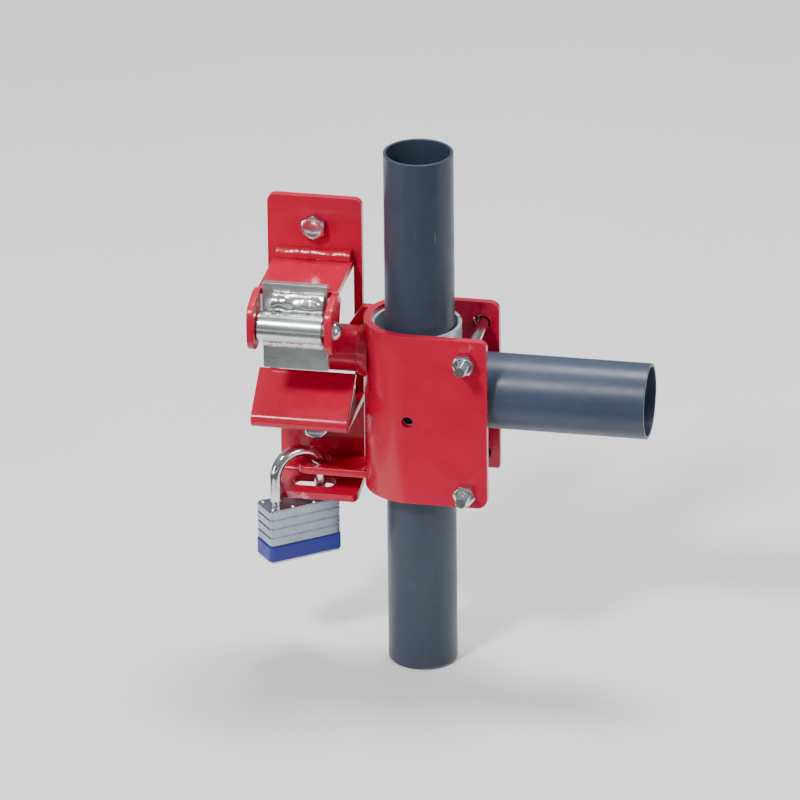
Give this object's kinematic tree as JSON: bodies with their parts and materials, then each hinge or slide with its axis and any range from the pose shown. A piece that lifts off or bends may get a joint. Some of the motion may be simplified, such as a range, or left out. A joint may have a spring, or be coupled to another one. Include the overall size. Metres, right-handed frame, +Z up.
{
  "type": "lockable gate latch end",
  "caption": "Post bracket with a swinging dog that traps a clamp-on gate arm, with short gate tube sections and a laminated padlock.",
  "frame": {"origin": "rear face of the post plate, midway between the two lag screws", "axes": "+X along the gate rail away from the post, +Y into the post, +Z up"},
  "size_m": [0.2532, 0.1202, 0.349],
  "materials": {
    "red_powder_coat": "gloss powder coat with slight orange peel",
    "zinc_plate": "bright zinc plate",
    "gate_paint": "semi-gloss dark blue-grey enamel",
    "chrome": "polished chrome plate",
    "lock_steel": "satin plated steel laminations",
    "blue_plastic": "satin moulded band",
    "brass": "turned brass"
  },
  "bodies": {
    "post_bracket": {"back_plate": "red_powder_coat", "catch_shelf": "red_powder_coat", "left_ear": "red_powder_coat", "right_ear": "red_powder_coat", "shelf_weld": "red_powder_coat", "lower_catch": "red_powder_coat", "catch_weld": "red_powder_coat", "lag_screws": "zinc_plate", "pivot_pin": "zinc_plate"},
    "dog": {"dog_plate": "zinc_plate", "dog_tube": "zinc_plate", "dog_upper_weld": "zinc_plate", "dog_lower_weld": "zinc_plate"},
    "gate_end": {"clamp_strap": "red_powder_coat", "clamp_sleeve": "zinc_plate", "clamp_bolts": "zinc_plate", "clamp_nuts": "zinc_plate", "locking_arm": "red_powder_coat", "arm_gusset": "red_powder_coat", "arm_weld": "red_powder_coat", "lock_tab": "red_powder_coat", "tab_weld": "red_powder_coat", "gate_stile": "gate_paint", "gate_rail": "gate_paint"},
    "padlock": {"lock_shackle": "chrome", "lock_plates": "lock_steel", "lock_rivets": "lock_steel", "lock_bumper": "blue_plastic", "lock_base": "lock_steel", "lock_cylinder": "brass"},
    "key_plug": {"lock_plug": "brass"},
    "left_lock_bolt": {"left_bolt": "lock_steel"},
    "right_lock_bolt": {"right_bolt": "lock_steel"}
  },
  "joints": [
    {"name": "dog_hinge", "type": "hinge", "parent": "post_bracket", "child": "dog", "pos_m": [0, -0.074, 0.0285], "axis": [1, 0, 0], "range_deg": [0, 75]},
    {"name": "gate_rattle", "type": "slide", "parent": "post_bracket", "child": "gate_end", "axis": [0, 1, 0], "range_m": [-0.001, 0.001]},
    {"name": "padlock_swing", "type": "hinge", "parent": "post_bracket", "child": "padlock", "pos_m": [0.0038, -0.016, -0.1], "axis": [0, 0, 1], "range_deg": [-27, 25]},
    {"name": "key_turn", "type": "hinge", "parent": "padlock", "child": "key_plug", "pos_m": [-0.00865, -0.02573, -0.13], "axis": [0, 0, 1], "range_deg": [0, 90]},
    {"name": "left_bolt_slide", "type": "slide", "parent": "padlock", "child": "left_lock_bolt", "axis": [0.788, 0.6157, 0], "range_m": [0, 0.0014]},
    {"name": "right_bolt_slide", "type": "slide", "parent": "padlock", "child": "right_lock_bolt", "axis": [-0.788, -0.6157, 0], "range_m": [0, 0.0014]}
  ],
  "couplings": [
    {"joint": "left_bolt_slide", "follows": "key_turn", "m_per_rad": 0.000859},
    {"joint": "right_bolt_slide", "follows": "key_turn", "m_per_rad": 0.000859}
  ]
}
